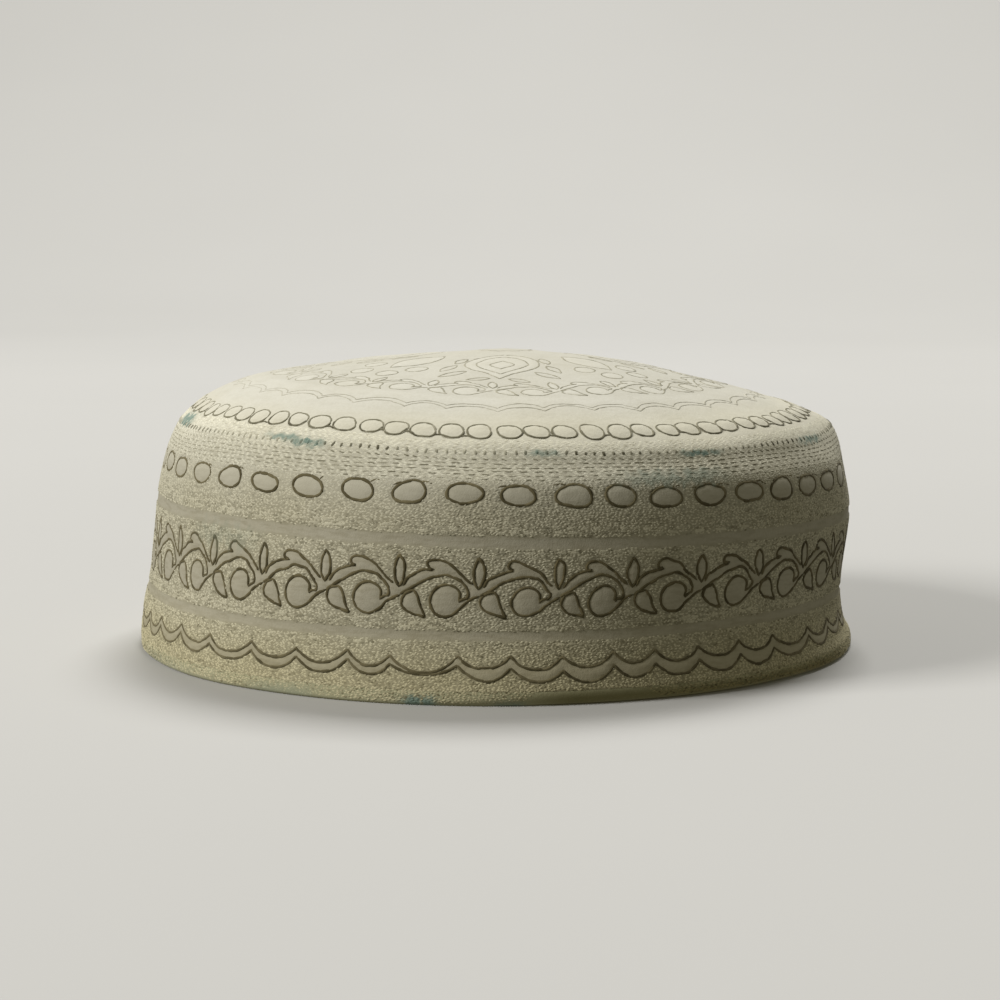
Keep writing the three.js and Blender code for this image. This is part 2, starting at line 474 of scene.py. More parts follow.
def moved(lines, places):
    """Lines that lie askew: between bearings, moved round and up."""
    for bearings, shift in places:
        lines = [line + np.outer(within(line[:, 0], bearings), shift) for line in lines]
    return lines


def oval_ring(count, first, run, size, shape, sway, lean=0.1, ripple=0.05, stray=0.3):
    """A ring of ovals, no two quite alike."""
    ovals = []
    wobble, squareness = shape
    turn = np.linspace(0, 2 * np.pi, 33)
    cosine, sine = np.cos(turn), np.sin(turn)
    for number in range(count):
        width, height = np.array(size) * rng.uniform(1 - wobble, 1 + wobble, 2) / 2
        tilt = rng.uniform(-lean, lean)
        swell = 1 + rng.uniform(-ripple, ripple) * np.cos(3 * turn + rng.uniform(0, 6))
        across = np.sign(cosine) * np.abs(cosine) ** squareness * width * swell
        up = np.sign(sine) * np.abs(sine) ** squareness * height * swell + tilt * across
        middle = first + number * 360 / count
        middle += rng.uniform(-stray, stray) - sway * (1 - np.cos(np.radians(3 * middle)))
        bearing = middle + across * form.degrees_per_mm(run)
        ovals.append(np.stack([bearing, run + rng.uniform(-stray, stray) + up], -1))
    return ovals


def scallop_ring(cusp_bearing, cusp_run, valley_run, sway, deeper, stray=0.3, roundness=2.3):
    """One line of scallops right round, as an array of bearing and run that ends where it began."""
    count = len(cusp_bearing)
    cusp = cusp_run + sway
    depth = valley_run - cusp_run + rng.uniform(-stray, stray, count) - deeper
    t = np.linspace(0, 1, 22)[:-1]
    arcs = []
    for here in range(count):
        following = (here + 1) % count
        span = (cusp_bearing[following] - cusp_bearing[here]) % 360
        hang = depth[here] * (1 - np.abs(2 * t - 1) ** roundness)
        run = cusp[here] * (1 - t) + cusp[following] * t + hang
        arcs.append(np.stack([cusp_bearing[here] + span * t, run], -1))
    ring = np.concatenate(arcs)
    return np.concatenate([ring, ring[:1] + [[360, 0]]])


def from_plan(points, turn):
    """Crown outlines from the plan: across and out from the peak, turned to a bearing."""
    points = np.asarray(points, float)
    bearing = turn + np.degrees(np.arctan2(points[:, 0], points[:, 1]))
    return np.stack([bearing, form.at_radius(np.hypot(points[:, 0], points[:, 1]))], -1)


def mirrored(half):
    """A closed outline from its right half."""
    right = curve(half)
    return np.concatenate([right, right[-2::-1] * (-1, 1)])


def leaf_outline(across, out, length, width, lean_deg, side):
    """A small pointed leaf in plan, on the right or left of a petal."""
    t = np.linspace(-1, 1, 13)
    bulge = width / 2 * (1 - t ** 2)
    right = np.stack([bulge, t * length / 2], -1)
    edge = np.concatenate([right, right[-2::-1] * (-1, 1)])
    lean = np.radians(lean_deg)
    turned = np.stack([
        edge[:, 0] * np.cos(lean) + edge[:, 1] * np.sin(lean),
        edge[:, 1] * np.cos(lean) - edge[:, 0] * np.sin(lean),
    ], -1)
    return (turned + (across, out)) * (side, 1)


def medallion(wobble=0.15):
    """The crown's petals, the leaves and curls between them and the rosette at the peak."""
    lines, edges = [], []
    circle = np.linspace(0, 2 * np.pi, 25)
    ring = np.stack([np.cos(circle), np.sin(circle)], -1)
    for petal in range(PETALS):
        turn = petal * 360 / PETALS
        outer = from_plan(mirrored(hand_drawn(PETAL, wobble)), turn)
        lines += [outer, from_plan(mirrored(PETAL_INNER), turn)]
        lines.append(from_plan(mirrored(PETAL_DIAMOND), turn))
        for sprig in SPRIGS:
            lines += [from_plan(leaf_outline(*sprig, side), turn) for side in (-1, 1)]
        between = turn + 180 / PETALS
        leaf = from_plan(mirrored(SIDE_LEAF), between)
        lines.append(leaf)
        edges += [outer, leaf]
        for centre in SIDE_CURL_CENTRES:
            curl = from_plan(ring * SIDE_CURL_RADIUS + centre, between)
            lines.append(curl)
            edges.append(curl)
    lobes = ROSETTE_RADIUS * (1 + ROSETTE_BULGE * np.abs(np.sin(circle * ROSETTE_LOBES / 2)))
    lines.append(np.stack([np.degrees(circle), form.at_radius(lobes)], -1))
    return lines, edges


band_vine, band_vine_edges = vine_ring(VINE_REPEATS, VINE_FIRST, form.at_height(VINE_HEIGHT), VINE_WOBBLE)
band_vine, band_vine_edges = moved(band_vine, VINE_MOVED), moved(band_vine_edges, VINE_MOVED)
ovals = oval_ring(OVALS, OVAL_FIRST, form.at_height(OVAL_HEIGHT), OVAL_SIZE, OVAL_SHAPE, OVAL_SWAY)
ovals = moved(ovals, OVALS_MOVED)
back_cusps = np.linspace(FRONT_CUSPS[-1], FRONT_CUSPS[0] + 360, BACK_SCALLOPS + 1)[1:-1]
scallop_cusps = np.concatenate([FRONT_CUSPS, back_cusps + rng.uniform(-0.8, 0.8, len(back_cusps))])
scallop_sway = rng.uniform(-0.35, 0.35, len(scallop_cusps))
scallop_pinch = SCALLOP_PINCH * (np.arange(len(scallop_cusps)) == SCALLOP_PINCHED)
scallop_wider = SCALLOP_WIDER[-1] * hump(scallop_cusps, *SCALLOP_WIDER[:-1])
scallop_upper = scallop_ring(scallop_cusps, *form.at_height(SCALLOP_UPPER), scallop_sway, scallop_pinch)
scallop_lower = scallop_ring(
    scallop_cusps, *form.at_height(SCALLOP_LOWER), scallop_sway - scallop_wider, -scallop_pinch
)
small_ovals = oval_ring(
    SMALL_OVALS, SMALL_OVAL_FIRST, form.at_radius(SMALL_OVAL_RADIUS), SMALL_OVAL_SIZE, SMALL_OVAL_SHAPE, 0.0
)
small_ovals = moved(small_ovals, SMALL_OVALS_MOVED)
crown_cusps = (np.arange(CROWN_SCALLOPS) + rng.uniform(-0.1, 0.1, CROWN_SCALLOPS)) * 360 / CROWN_SCALLOPS
crown_sway = rng.uniform(-0.3, 0.3, CROWN_SCALLOPS)
crown_scallops = [
    scallop_ring(crown_cusps, *form.at_radius(radii), crown_sway, 0.0)
    for radii in (CROWN_SCALLOP_OUTER, CROWN_SCALLOP_INNER)
]
crown_vine, crown_vine_edges = vine_ring(
    CROWN_VINE_REPEATS, CROWN_VINE_FIRST, form.at_radius(CROWN_VINE_RADIUS), VINE_WOBBLE
)
petals, petal_edges = medallion()


# Where the cloth is plain, sewn, sunken or stained

def finder(points):
    """A tree of points, to ask how far a place is from the nearest one."""
    tree = kdtree.KDTree(len(points))
    for number, point in enumerate(points):
        tree.insert(point, number)
    tree.balance()
    return tree


def distances(tree, bearing, run):
    return np.array([tree.find(point)[2] for point in form.point(bearing, run)])


def inside(edges, bearing, run):
    """Whether each place lies inside one of the closed edges."""
    found = np.zeros(len(bearing), bool)
    for edge in edges:
        low, high = edge.min(0), edge.max(0)
        turned = unroll(bearing, (low[0] + high[0]) / 2)
        near = (turned > low[0]) & (turned < high[0]) & (run > low[1]) & (run < high[1])
        x, y = turned[near, None], run[near, None]
        (x0, y0), (x1, y1) = edge.T, np.roll(edge, -1, axis=0).T
        crosses = (y0 > y) != (y1 > y)
        with np.errstate(divide="ignore", invalid="ignore"):
            beyond = x < (x1 - x0) * (y - y0) / (y1 - y0) + x0
        found[near] |= (crosses & beyond).sum(1) % 2 == 1
    return found


def between_scallops(bearing, run):
    """Whether each place lies on the plain ribbon between the two lines of scallops."""
    turned = unroll(bearing, 180)

    def line(ring):
        order = np.argsort(ring[:, 0] % 360)
        return np.interp(turned % 360, ring[order, 0] % 360, ring[order, 1], period=360)

    return (run < line(scallop_upper)) & (run > line(scallop_lower))


def in_strip(run, strip, blur=0.5):
    low, high = form.at_height(strip)
    return hump(run, low - blur, low + blur, high - blur, high + blur)


def dye(bearing, height, marks, ragged, fall):
    """How strongly faded dye marks a place. The marks' edges are ragged, and fall off softly or hard."""
    total = np.zeros(np.shape(bearing))
    for middle, level, half_width, half_height, strength in marks:
        turned = unroll(bearing, middle)
        across = (turned - middle) / half_width
        edge = 0.35 * np.sin(turned * 2.3) + 0.25 * np.sin(turned * 5.9)
        up = (height - level) / half_height + ragged * edge
        total = np.maximum(total, strength * np.exp(-across ** 4 - up ** fall))
    return total


def stain(bearing, run):
    return dye(bearing, form.height(run), STAINS, ragged=1, fall=4)


def hem_roll(bearing):
    """The radius that the rim's edge is turned under with."""
    tight, slack = HEM_ROLLS
    return tight + (slack - tight) * within(bearing, HEM_SLACK_BEARINGS)


def turned_under(bearing, run):
    """How far the rim's edge has curved in from the wall above it."""
    radius = hem_roll(bearing)
    below = np.clip(1 - form.height(run) / radius, 0, 1)
    return radius * (1 - np.sqrt(1 - below ** 2))


def rim_shade(bearing, height):
    """How much painted shade darkens the turned edge at the front right, from 0 to 1."""
    return within(bearing, RIM_SHADE_BEARINGS) * (1 - smoothstep(*RIM_SHADE_HEIGHTS, height))


def crown_hollow(bearing, run):
    """How far the crown has sunk behind its peak, most to either side of the ridge."""
    angle, radius = np.radians(bearing), form.radius(run)
    across, behind = radius * np.sin(angle), -radius * np.cos(angle)
    sunk = CROWN_SUNK
    for depth, *reach in CROWN_HOLLOWS:
        sunk = sunk + depth * hump(across, *reach)
    return sunk * hump(behind, *CROWN_SUNK_BEHIND) * hump(across, *CROWN_SUNK_ACROSS)


def shoulder_roll(bearing, run):
    """How far the shoulder stands out where it is rolled over: out at its foot, in at its top."""
    height = form.height(run)
    foot, top = SHOULDER_ROLL_HEIGHTS[1:3]
    swell, draw = SHOULDER_ROLL
    lift = swell + (draw - swell) * smoothstep(foot, top, height)
    return lift * within(bearing, SHOULDER_ROLL_BEARINGS) * hump(height, *SHOULDER_ROLL_HEIGHTS)


def wear(bearing, run):
    """How far use has moved the wall from its even form: waves, slack sides, rolled edges, a sunken crown."""
    angle = np.radians(bearing)
    shift = sum(high * np.sin(turns * angle + twist * run + phase) for high, turns, twist, phase in WAVES)
    shift = shift * np.clip(form.radius(run) / CALM_RADIUS, 0, 1)
    for bearings, heights, stands_out in SIDE_SHIFTS:
        shift = shift + stands_out * within(bearing, bearings) * hump(form.height(run), *heights)
    return shift + shoulder_roll(bearing, run) - turned_under(bearing, run) - crown_hollow(bearing, run)


def worn_point(bearing, run):
    return form.lifted(bearing, run, wear(bearing, run))


def worn_out(bearing, run):
    return normals(worn_point, bearing, run, form.length - 0.8, step=0.2)


band_lines = [*band_vine, *ovals, scallop_upper, scallop_lower]
crown_lines = [*small_ovals, *crown_scallops, *crown_vine, *petals]
line_places = np.concatenate([*band_lines, *crown_lines])
all_lines = finder(form.point(line_places[:, 0], line_places[:, 1]))
band_edges = [*band_vine_edges, *ovals]
crown_edges = [*small_ovals, *crown_vine_edges, *petal_edges]


def plain_cloth(bearing, run):
    """Whether each place is on a motif's plain cloth."""
    return inside(band_edges + crown_edges, bearing, run) | between_scallops(bearing, run)


def relief(bearing, run):
    """How far the skin stands out from the form at each place, and how plain it is there."""
    gap = distances(all_lines, bearing, run)
    plain = plain_cloth(bearing, run)
    on_crown = smoothstep(SEAM_RUN + SEAM_BLUR[0], SEAM_RUN + SEAM_BLUR[1], run)
    strength = 1 - FLATTER_BY * smoothstep(*form.at_radius(FLATTER_MOTIFS), run)
    lift = wear(bearing, run)
    lift += plain * PUFF * strength * (1 - np.exp(-gap / MOTIF_SLOPE))
    lift -= GROOVE * strength * np.exp(-(gap / GROOVE_REACH) ** 2)
    strips = in_strip(run, LOWER_STRIP) + in_strip(run, UPPER_STRIP)
    lift -= SUNK_STRIP * strips
    smooth_ring = on_crown * (1 - smoothstep(*form.at_radius(SMOOTH_RING), run))
    evenness = np.clip(plain * smoothstep(0.1, 0.6, gap) + strips + 0.8 * smooth_ring, 0, 1)
    return lift, evenness


# Meshes

def make_piece(
    name, points, faces, materials, corner_uv, values, face_material=None, crease_deg=None
):
    """A piece of the cap from points in millimetres, with values for its material at each point."""
    mesh = bpy.data.meshes.new(name)
    mesh.from_pydata((points * MM).tolist(), [], faces)
    mesh.shade_smooth()
    if crease_deg is not None:
        mesh.set_sharp_from_angle(angle=np.radians(crease_deg))
    layer = mesh.uv_layers.new(name="OFBake")
    layer.uv.foreach_set("vector", corner_uv.astype(np.float32).ravel())
    for key, numbers in values.items():
        attribute = mesh.attributes.new(key, "FLOAT", "POINT")
        attribute.data.foreach_set("value", np.asarray(numbers, np.float32))
    for material in materials:
        mesh.materials.append(material)
    if face_material is not None:
        mesh.polygons.foreach_set("material_index", np.asarray(face_material, np.int32))
    piece = bpy.data.objects.new(name, mesh)
    bpy.context.scene.collection.objects.link(piece)
    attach(piece, BODY)
    return piece


def ring_faces(rows, columns, closes):
    """Quads between neighbouring rings of points, and the row and column of each corner."""
    strips = rows if closes else rows - 1
    row, column = np.meshgrid(np.arange(strips), np.arange(columns), indexing="ij")
    corner_rows = np.stack([row, row, row + 1, row + 1], -1).reshape(-1, 4)
    corner_columns = np.stack([column, column + 1, column + 1, column], -1).reshape(-1, 4)
    faces = corner_rows % rows * columns + corner_columns % columns
    return faces, corner_rows, corner_columns


def peak_fan(row, columns, peak, upwards):
    """Triangles that close a ring of points to a peak."""
    here = np.arange(columns)
    after = (here + 1) % columns
    first, second = (here, after) if upwards else (after, here)
    return np.stack([row * columns + first, row * columns + second, np.full(columns, peak)], -1)


def fan_uv(columns, levels):
    """Where the triangles round a peak lie when unrolled."""
    here = np.arange(columns)
    wedge = np.stack([here, here + 1, here + 0.5], -1) / columns
    return np.stack([wedge, np.tile(levels, (columns, 1))], -1)


def skin_grid(runs, bearings, has_peak):
    """The run and bearing of each point of a skin, ring after ring, with a crown's peak last."""
    run, bearing = [grid.ravel() for grid in np.meshgrid(runs, bearings, indexing="ij")]
    if has_peak:
        run, bearing = np.append(run, form.length), np.append(bearing, 0.0)
    return run, bearing


def skin_faces(outer_rows, rows, columns, has_peak):
    """A skin's faces, where their corners lie when unrolled, and which faces are on the inside."""
    faces, corner_rows, corner_columns = ring_faces(rows, columns, closes=True)
    corner_uv = np.stack([corner_columns / columns, corner_rows / rows], -1)
    is_inside = corner_rows.max(1) >= outer_rows
    if not has_peak:
        return faces.tolist(), corner_uv.reshape(-1, 2), is_inside
    kept = corner_rows[:, 0] != outer_rows - 1  # all but the ring from the outside's top to the inside's
    top = peak_fan(outer_rows - 1, columns, rows * columns, True)
    under = peak_fan(outer_rows, columns, rows * columns + 1, False)
    quads = [*faces[kept].tolist(), *top.tolist(), *under.tolist()]
    levels = (np.array([(0.0, 0.0, 0.5), (0.5, 0.5, 0.0)]) + outer_rows - 1) / rows
    parts = [corner_uv[kept], *(fan_uv(columns, level) for level in levels)]
    is_inside = np.concatenate([is_inside[kept], np.zeros(columns, bool), np.ones(columns, bool)])
    return quads, np.concatenate([part.reshape(-1, 2) for part in parts]), is_inside


def make_skin(name, outer_runs, inner_runs, columns, materials, has_peak):
    """A closed cloth wall: a finely worked outside, a plain inside and the edges between them.

    The outside's rings are followed by the inside's, from the other end back. A crown's two peaks come last.
    """
    bearings = np.arange(columns) * 360 / columns
    run, bearing = skin_grid(outer_runs, bearings, has_peak)
    in_run, in_bearing = skin_grid(inner_runs, bearings, has_peak)
    lift, evenness = relief(bearing, run)
    outer = form.lifted(bearing, run, lift)
    inner = form.lifted(in_bearing, in_run, wear(in_bearing, in_run) - WALL)
    order = np.arange(len(outer) + len(inner))
    if has_peak:
        peaks = [len(outer) - 1, len(outer) + len(inner) - 1]
        order = np.concatenate([np.delete(order, peaks), peaks])
    none = np.zeros(len(inner))
    values = {
        "plain": np.concatenate([evenness, none + 1])[order],
        "stain": np.concatenate([stain(bearing, run), none])[order],
        # painted shade on the turned edge
        "rim_shade": np.concatenate([rim_shade(bearing, form.height(run)), none])[order],
    }
    points = np.concatenate([outer, inner])[order]
    rows = len(outer_runs) + len(inner_runs)
    faces, corner_uv, is_inside = skin_faces(len(outer_runs), rows, columns, has_peak)
    return make_piece(
        name, points, faces, materials, corner_uv, values, is_inside, crease_deg=SKIN_CREASE_DEG
    )


# A thread's section, as shares of its half width and height: its feet are in the cloth
OUTLINE_SECTION = np.array([(-1.0, -0.9), (-0.62, 0.9), (0.62, 0.9), (1.0, -0.9)])
STITCH_SECTION = np.array([(-1.0, -0.9), (0.0, 1.0), (1.0, -0.9)])


THREAD_CELL = 0.0004 * np.array([(0, 0), (1, 0), (1, 1), (0, 1)])  # a side's place when unrolled


def is_closed(line):
    """Whether an outline ends where it began."""
    turn = unroll(line[0, 0], line[-1, 0]) - line[-1, 0]
    return np.allclose(line[0, 1], line[-1, 1]) and abs(turn) < 1e-6


def thread_corners(bearing, run, swell, sway, size, closed):
    """The corners of a thread's section at each step along it."""
    out = worn_out(bearing, run)
    spine = worn_point(bearing, run) - THREAD_SUNK * out
    ahead = np.roll(spine, -1, 0) - np.roll(spine, 1, 0)
    if not closed:
        ahead[0], ahead[-1] = spine[1] - spine[0], spine[-1] - spine[-2]
    side = np.cross(ahead, out)
    side /= np.linalg.norm(side, axis=1, keepdims=True) + 1e-9
    spine = spine + side * sway[:, None]
    wide, high = [size[axis] * swell[:, None] * OUTLINE_SECTION[:, axis] for axis in (0, 1)]
    return spine[:, None] + side[:, None] * wide[..., None] + out[:, None] * high[..., None]


def thread_faces(bearing, run, closed):
    """The quads along a thread and over its ends, and where their corners lie when unrolled."""
    count, sides = len(bearing), len(OUTLINE_SECTION)
    place = np.stack([bearing % 360 / 360, run / form.length], -1)[:, None]
    here = np.arange(count if closed else count - 1)
    after = (here + 1) % count
    faces, uvs = [], []
    for corner in range(sides):
        other = (corner + 1) % sides
        pairs = ((here, corner), (after, corner), (after, other), (here, other))
        faces.append(np.stack([step * sides + side for step, side in pairs], -1))
        uvs.append(np.repeat(place[here], 4, 1) + THREAD_CELL)
    if not closed:
        first = np.arange(sides)
        faces.append(np.array([first, (count - 1) * sides + first[::-1]]))
        uvs.append(np.repeat(place[[0, -1]], 4, 1))
    return np.concatenate(faces), np.concatenate(uvs)


def sew_lines(name, lines, size, material, thinnest=0.7, stray=0.08):
    """Outlines in back stitch: a thread that thins where one stitch ends and the next begins."""
    points, faces, uvs, shade, marks = [], [], [], [], []
    start, sides = 0, len(OUTLINE_SECTION)
    for line in lines:
        closed = is_closed(line)
        reach = reaches(form.point(line[:, 0], line[:, 1]))
        at = np.linspace(0, reach[-1], max(4, int(reach[-1] / LINE_STEP)), endpoint=not closed)
        bearing, run = np.interp(at, reach, line[:, 0]), np.interp(at, reach, line[:, 1])
        stitch = at / OUTLINE_STITCH
        number = stitch.astype(int)
        stitches = number.max() + 1
        swell = thinnest + (1 - thinnest) * np.abs(np.sin(np.pi * stitch)) ** 0.5
        swell *= rng.uniform(*THREAD_VARIES, stitches)[number]
        if not closed:
            tip, taper = THREAD_TIP
            swell *= np.minimum(1, tip + np.minimum(at, reach[-1] - at) / taper)
        # thinner on the lit left side, and paler there with painted light
        paleness = within(bearing, OUTLINE_LIT_BEARINGS)
        swell *= 1 - LIT_THINNER * paleness
        sway = rng.normal(0, stray, stitches)[number]
        points.append(thread_corners(bearing, run, swell, sway, size, closed).reshape(-1, 3))
        line_faces, line_uvs = thread_faces(bearing, run, closed)
        faces.append(start + line_faces)
        uvs.append(line_uvs)
        # paler on the lit left side: painted light
        shade.append(np.repeat(rng.uniform(0, 1, stitches)[number] + LIT_PALER * paleness, sides))
        marks.append(np.repeat(stain(bearing, run), sides))
        start += len(at) * sides
    points, faces, uvs = [np.concatenate(parts) for parts in (points, faces, uvs)]
    values = {"shade": np.concatenate(shade), "stain": np.concatenate(marks)}
    return make_piece(name, points, faces.tolist(), [material], uvs.reshape(-1, 2), values)


def stitch_faces(rings):
    """The faces of one stitch, from its start to its end, and where each lies when unrolled."""
    sides, full = len(STITCH_SECTION), len(rings)
    at = np.array(rings) + 0.5
    last, end = 1 + (full - 1) * sides, 1 + full * sides
    fans, fan_places, quads, quad_places = [], [], [], []
    for corner in range(sides):
        other = (corner + 1) % sides
        low, middle, high = np.array([corner, corner + 0.5, corner + 1]) / sides
        fans += [(0, 1 + corner, 1 + other), (last + corner, end, last + other)]
        fan_places.append(((0, middle), (at[0], low), (at[0], high)))
        fan_places.append(((at[-1], low), (1, middle), (at[-1], high)))
        for ring in range(full - 1):
            here, after = 1 + ring * sides, 1 + (ring + 1) * sides
            near, far = at[ring], at[ring + 1]
            quads.append((here + corner, after + corner, after + other, here + other))
            quad_places.append(((near, low), (far, low), (far, high), (near, high)))
    parts = [(fans, fan_places), (quads, quad_places)]
    return [(np.array(faces), np.array(places)) for faces, places in parts if faces]


def sew_stitches(name, places, size, material, shade, rings=THREAD_RINGS, rest=STITCH_REST):
    """Single stitches: short threads that come up out of the cloth, lie over it and go down again.

    Places are bearings, runs, angles and lengths. Rings are where along its length a thread is full.
    """
    bearing, run, angle, length = places
    count = len(bearing)
    shares = np.array([-0.5, *rings, 0.5])
    is_foot = np.abs(shares) == 0.5
    along = length[:, None] * shares
    at_bearing = bearing[:, None] + along * (np.cos(angle) * form.degrees_per_mm(run))[:, None]
    at_run = run[:, None] + along * np.sin(angle)[:, None]
    out = worn_out(bearing, run)[:, None]
    spine = worn_point(at_bearing, at_run) + out * (size[1] * (rest - is_foot))[:, None]
    side = np.cross(spine[:, -1:] - spine[:, :1], out)
    side /= np.linalg.norm(side, axis=-1, keepdims=True)
    girth = rng.uniform(0.85, 1.15, count)[:, None, None] * STITCH_SECTION * np.array(size)
    rim = girth[..., :1] * side + girth[..., 1:] * out
    full = (spine[:, 1:-1, None] + rim[:, None]).reshape(count, -1, 3)
    points = np.concatenate([spine[:, :1], full, spine[:, -1:]], 1)
    each = points.shape[1]
    foot = np.zeros(each)
    foot[[0, -1]] = 1
    cells = int(np.ceil(np.sqrt(count)))
    cell = np.stack([np.arange(count) % cells, np.arange(count) // cells], -1)[:, None, None]
    faces, corner_uv = [], []
    for part, part_uv in stitch_faces(rings):
        faces += (np.arange(count)[:, None, None] * each + part).reshape(-1, part.shape[1]).tolist()
        corner_uv.append(((cell + 0.1 + 0.8 * part_uv) / cells).reshape(-1, 2))
    values = {
        "shade": np.repeat(shade, each),
        "stain": np.repeat(stain(bearing, run), each),
        # painted shade on the turned edge
        "rim_shade": np.repeat(rim_shade(bearing, form.height(run)), each),
        # painted shade at each stitch's two ends, of a random strength
        "foot": np.outer(rng.uniform(0.2, 1.0, count), foot).ravel(),
    }
    points, uv = points.reshape(-1, 3), np.concatenate(corner_uv)
    return make_piece(name, points, faces, [material], uv, values, crease_deg=STITCH_CREASE_DEG)


# Materials

class Look:
    """A material under construction: its nodes, its shader and short ways to join them."""

    def __init__(self, name, roughness):
        self.material = bpy.data.materials.new(name)
        self.material.use_nodes = True
        self.tree = self.material.node_tree
        self.shader = self.tree.nodes["Principled BSDF"]
        self.shader.inputs["Roughness"].default_value = roughness
        self.shader.inputs["Specular IOR Level"].default_value = 0.12
        self.object_place = self.node("ShaderNodeTexCoord").outputs["Object"]

    def node(self, kind, **inputs):
        node = self.tree.nodes.new(kind)
        for key, value in inputs.items():
            self.feed(node.inputs[key], value)
        return node

    def feed(self, socket, value):
        if isinstance(value, bpy.types.NodeSocket):
            self.tree.links.new(value, socket)
        else:
            socket.default_value = value

    def value(self, attribute):
        node = self.node("ShaderNodeAttribute")
        node.attribute_name = attribute
        return node.outputs["Fac"]

    def noise(self, size, detail=3.0, place=None):
        """Noise with features about so many millimetres across."""
        node = self.node("ShaderNodeTexNoise", Vector=place or self.object_place)
        node.inputs["Scale"].default_value = 1 / (size * MM)
        node.inputs["Detail"].default_value = detail
        return node.outputs["Fac"]

    def ranged(self, value, low, high, to_low=0.0, to_high=1.0):
        node = self.node("ShaderNodeMapRange", Value=value)
        node.interpolation_type = "SMOOTHSTEP"
        for key, number in (("From Min", low), ("From Max", high), ("To Min", to_low), ("To Max", to_high)):
            node.inputs[key].default_value = number
        return node.outputs["Result"]

    def product(self, first, second):
        node = self.node("ShaderNodeMath")
        node.operation = "MULTIPLY"
        self.feed(node.inputs[0], first)
        self.feed(node.inputs[1], second)
        return node.outputs["Value"]

    def blend(self, share, first, second, how="MIX"):
        """One colour turning into another."""
        node = self.node("ShaderNodeMix")
        node.data_type = "RGBA"
        node.blend_type = how
        self.feed(node.inputs["Factor"], share)
        for socket, colour in (("A", first), ("B", second)):
            target = next(entry for entry in node.inputs if entry.name == socket and entry.type == "RGBA")
            self.feed(target, colour if isinstance(colour, bpy.types.NodeSocket) else (*colour, 1.0))
        return next(entry for entry in node.outputs if entry.type == "RGBA")

    def bump(self, height, distance, strength, under=None):
        node = self.node("ShaderNodeBump", Height=height)
        node.inputs["Distance"].default_value = distance * MM
        node.inputs["Strength"].default_value = strength
        if under is not None:
            self.tree.links.new(under, node.inputs["Normal"])
        return node.outputs["Normal"]

    def height_share(self, low, high):
        """How far up between two heights a place is."""
        split = self.node("ShaderNodeSeparateXYZ", Vector=self.object_place)
        return self.ranged(split.outputs["Z"], low * MM, high * MM)

    def done(self, colour, normal):
        self.feed(self.shader.inputs["Base Color"], colour)
        self.feed(self.shader.inputs["Normal"], normal)
        return self.material


DYE = (0.20, 0.27, 0.225)
# The colour of painted shade on the turned edge at the front right
RIM_SHADE = (0.52, 0.49, 0.36)
YELLOW = (0.96, 0.93, 0.80)  # what age makes of the cloth towards the rim, and in patches
YELLOW_HEIGHTS = (22, 3)
PATCH = (0.90, 0.88, 0.81)
FINE_SHADE = (0.82, 0.81, 0.76)
STREAK = (0.74, 0.72, 0.66)
FRAY = (0.78, 0.76, 0.70)
# Painted shade in the pits where stitches go down into the cloth
PIT_SHADE = (0.16, 0.14, 0.095)  # where a stitch goes down into the cloth
SHOULDER = (0.605, 0.582, 0.48)  # between the band's colour and the crown's
SHOULDER_HEIGHTS = (39, 58, 61.5, 67)  # between which the band turns paler, and then the crown


def aged(look, colour, amount):
    """Paler to the shoulder, yellowed to the rim and in patches, with painted shade on the turned edge and
    faded dye.
    """
    band_pale = look.height_share(*SHOULDER_HEIGHTS[:2])
    paler = look.blend(look.product(band_pale, amount), colour, SHOULDER)
    low_down = look.product(look.height_share(*YELLOW_HEIGHTS), amount)
    yellowed = look.blend(low_down, paler, YELLOW, "MULTIPLY")
    patches = look.ranged(look.noise(size=22), 0.35, 0.7)
    yellowed = look.blend(look.product(patches, 0.3), yellowed, PATCH, "MULTIPLY")
    ragged = look.ranged(look.noise(size=2.2), 0.3, 0.55, to_low=0.3)
    # painted shade on the turned edge at the front right
    rim_shaded = look.blend(look.value("rim_shade"), yellowed, RIM_SHADE, "MULTIPLY")
    return look.blend(look.product(look.value("stain"), ragged), rim_shaded, DYE)


def cotton_look(name, plain, shaded_ground, amount=0.0, from_shoulder=False, streaky=0.15):
    """Woven cotton: darker where it is sewn through, as painted shade between the stitches, with a fine
    weave, slubs and level streaks.
    """
    look = Look(name, 0.92)
    look.shader.inputs["Sheen Weight"].default_value = 0.12
    look.shader.inputs["Sheen Roughness"].default_value = 0.5
    # the sewn ground is darker: painted shade between the stitches
    cloth = look.blend(look.value("plain"), shaded_ground, plain)
    if from_shoulder:
        cloth = look.blend(look.height_share(*SHOULDER_HEIGHTS[2:]), SHOULDER, cloth)
    fine = look.ranged(look.noise(size=0.7, detail=4), 0.3, 0.7)
    cloth = look.blend(look.product(fine, 0.3), cloth, FINE_SHADE, "MULTIPLY")
    level = look.node("ShaderNodeMapping", Vector=look.object_place, Scale=(0.2, 0.2, 1.0))
    streaks = look.ranged(look.noise(size=0.9, place=level.outputs["Vector"]), 0.42, 0.7)
    cloth = look.blend(look.product(streaks, streaky), cloth, STREAK, "MULTIPLY")
    cloth = aged(look, cloth, amount)
    weave = look.bump(look.noise(size=0.35, detail=2), distance=0.12, strength=0.4)
    slubs = look.bump(look.noise(size=1.6), distance=0.25, strength=0.35, under=weave)
    return look.done(cloth, slubs)


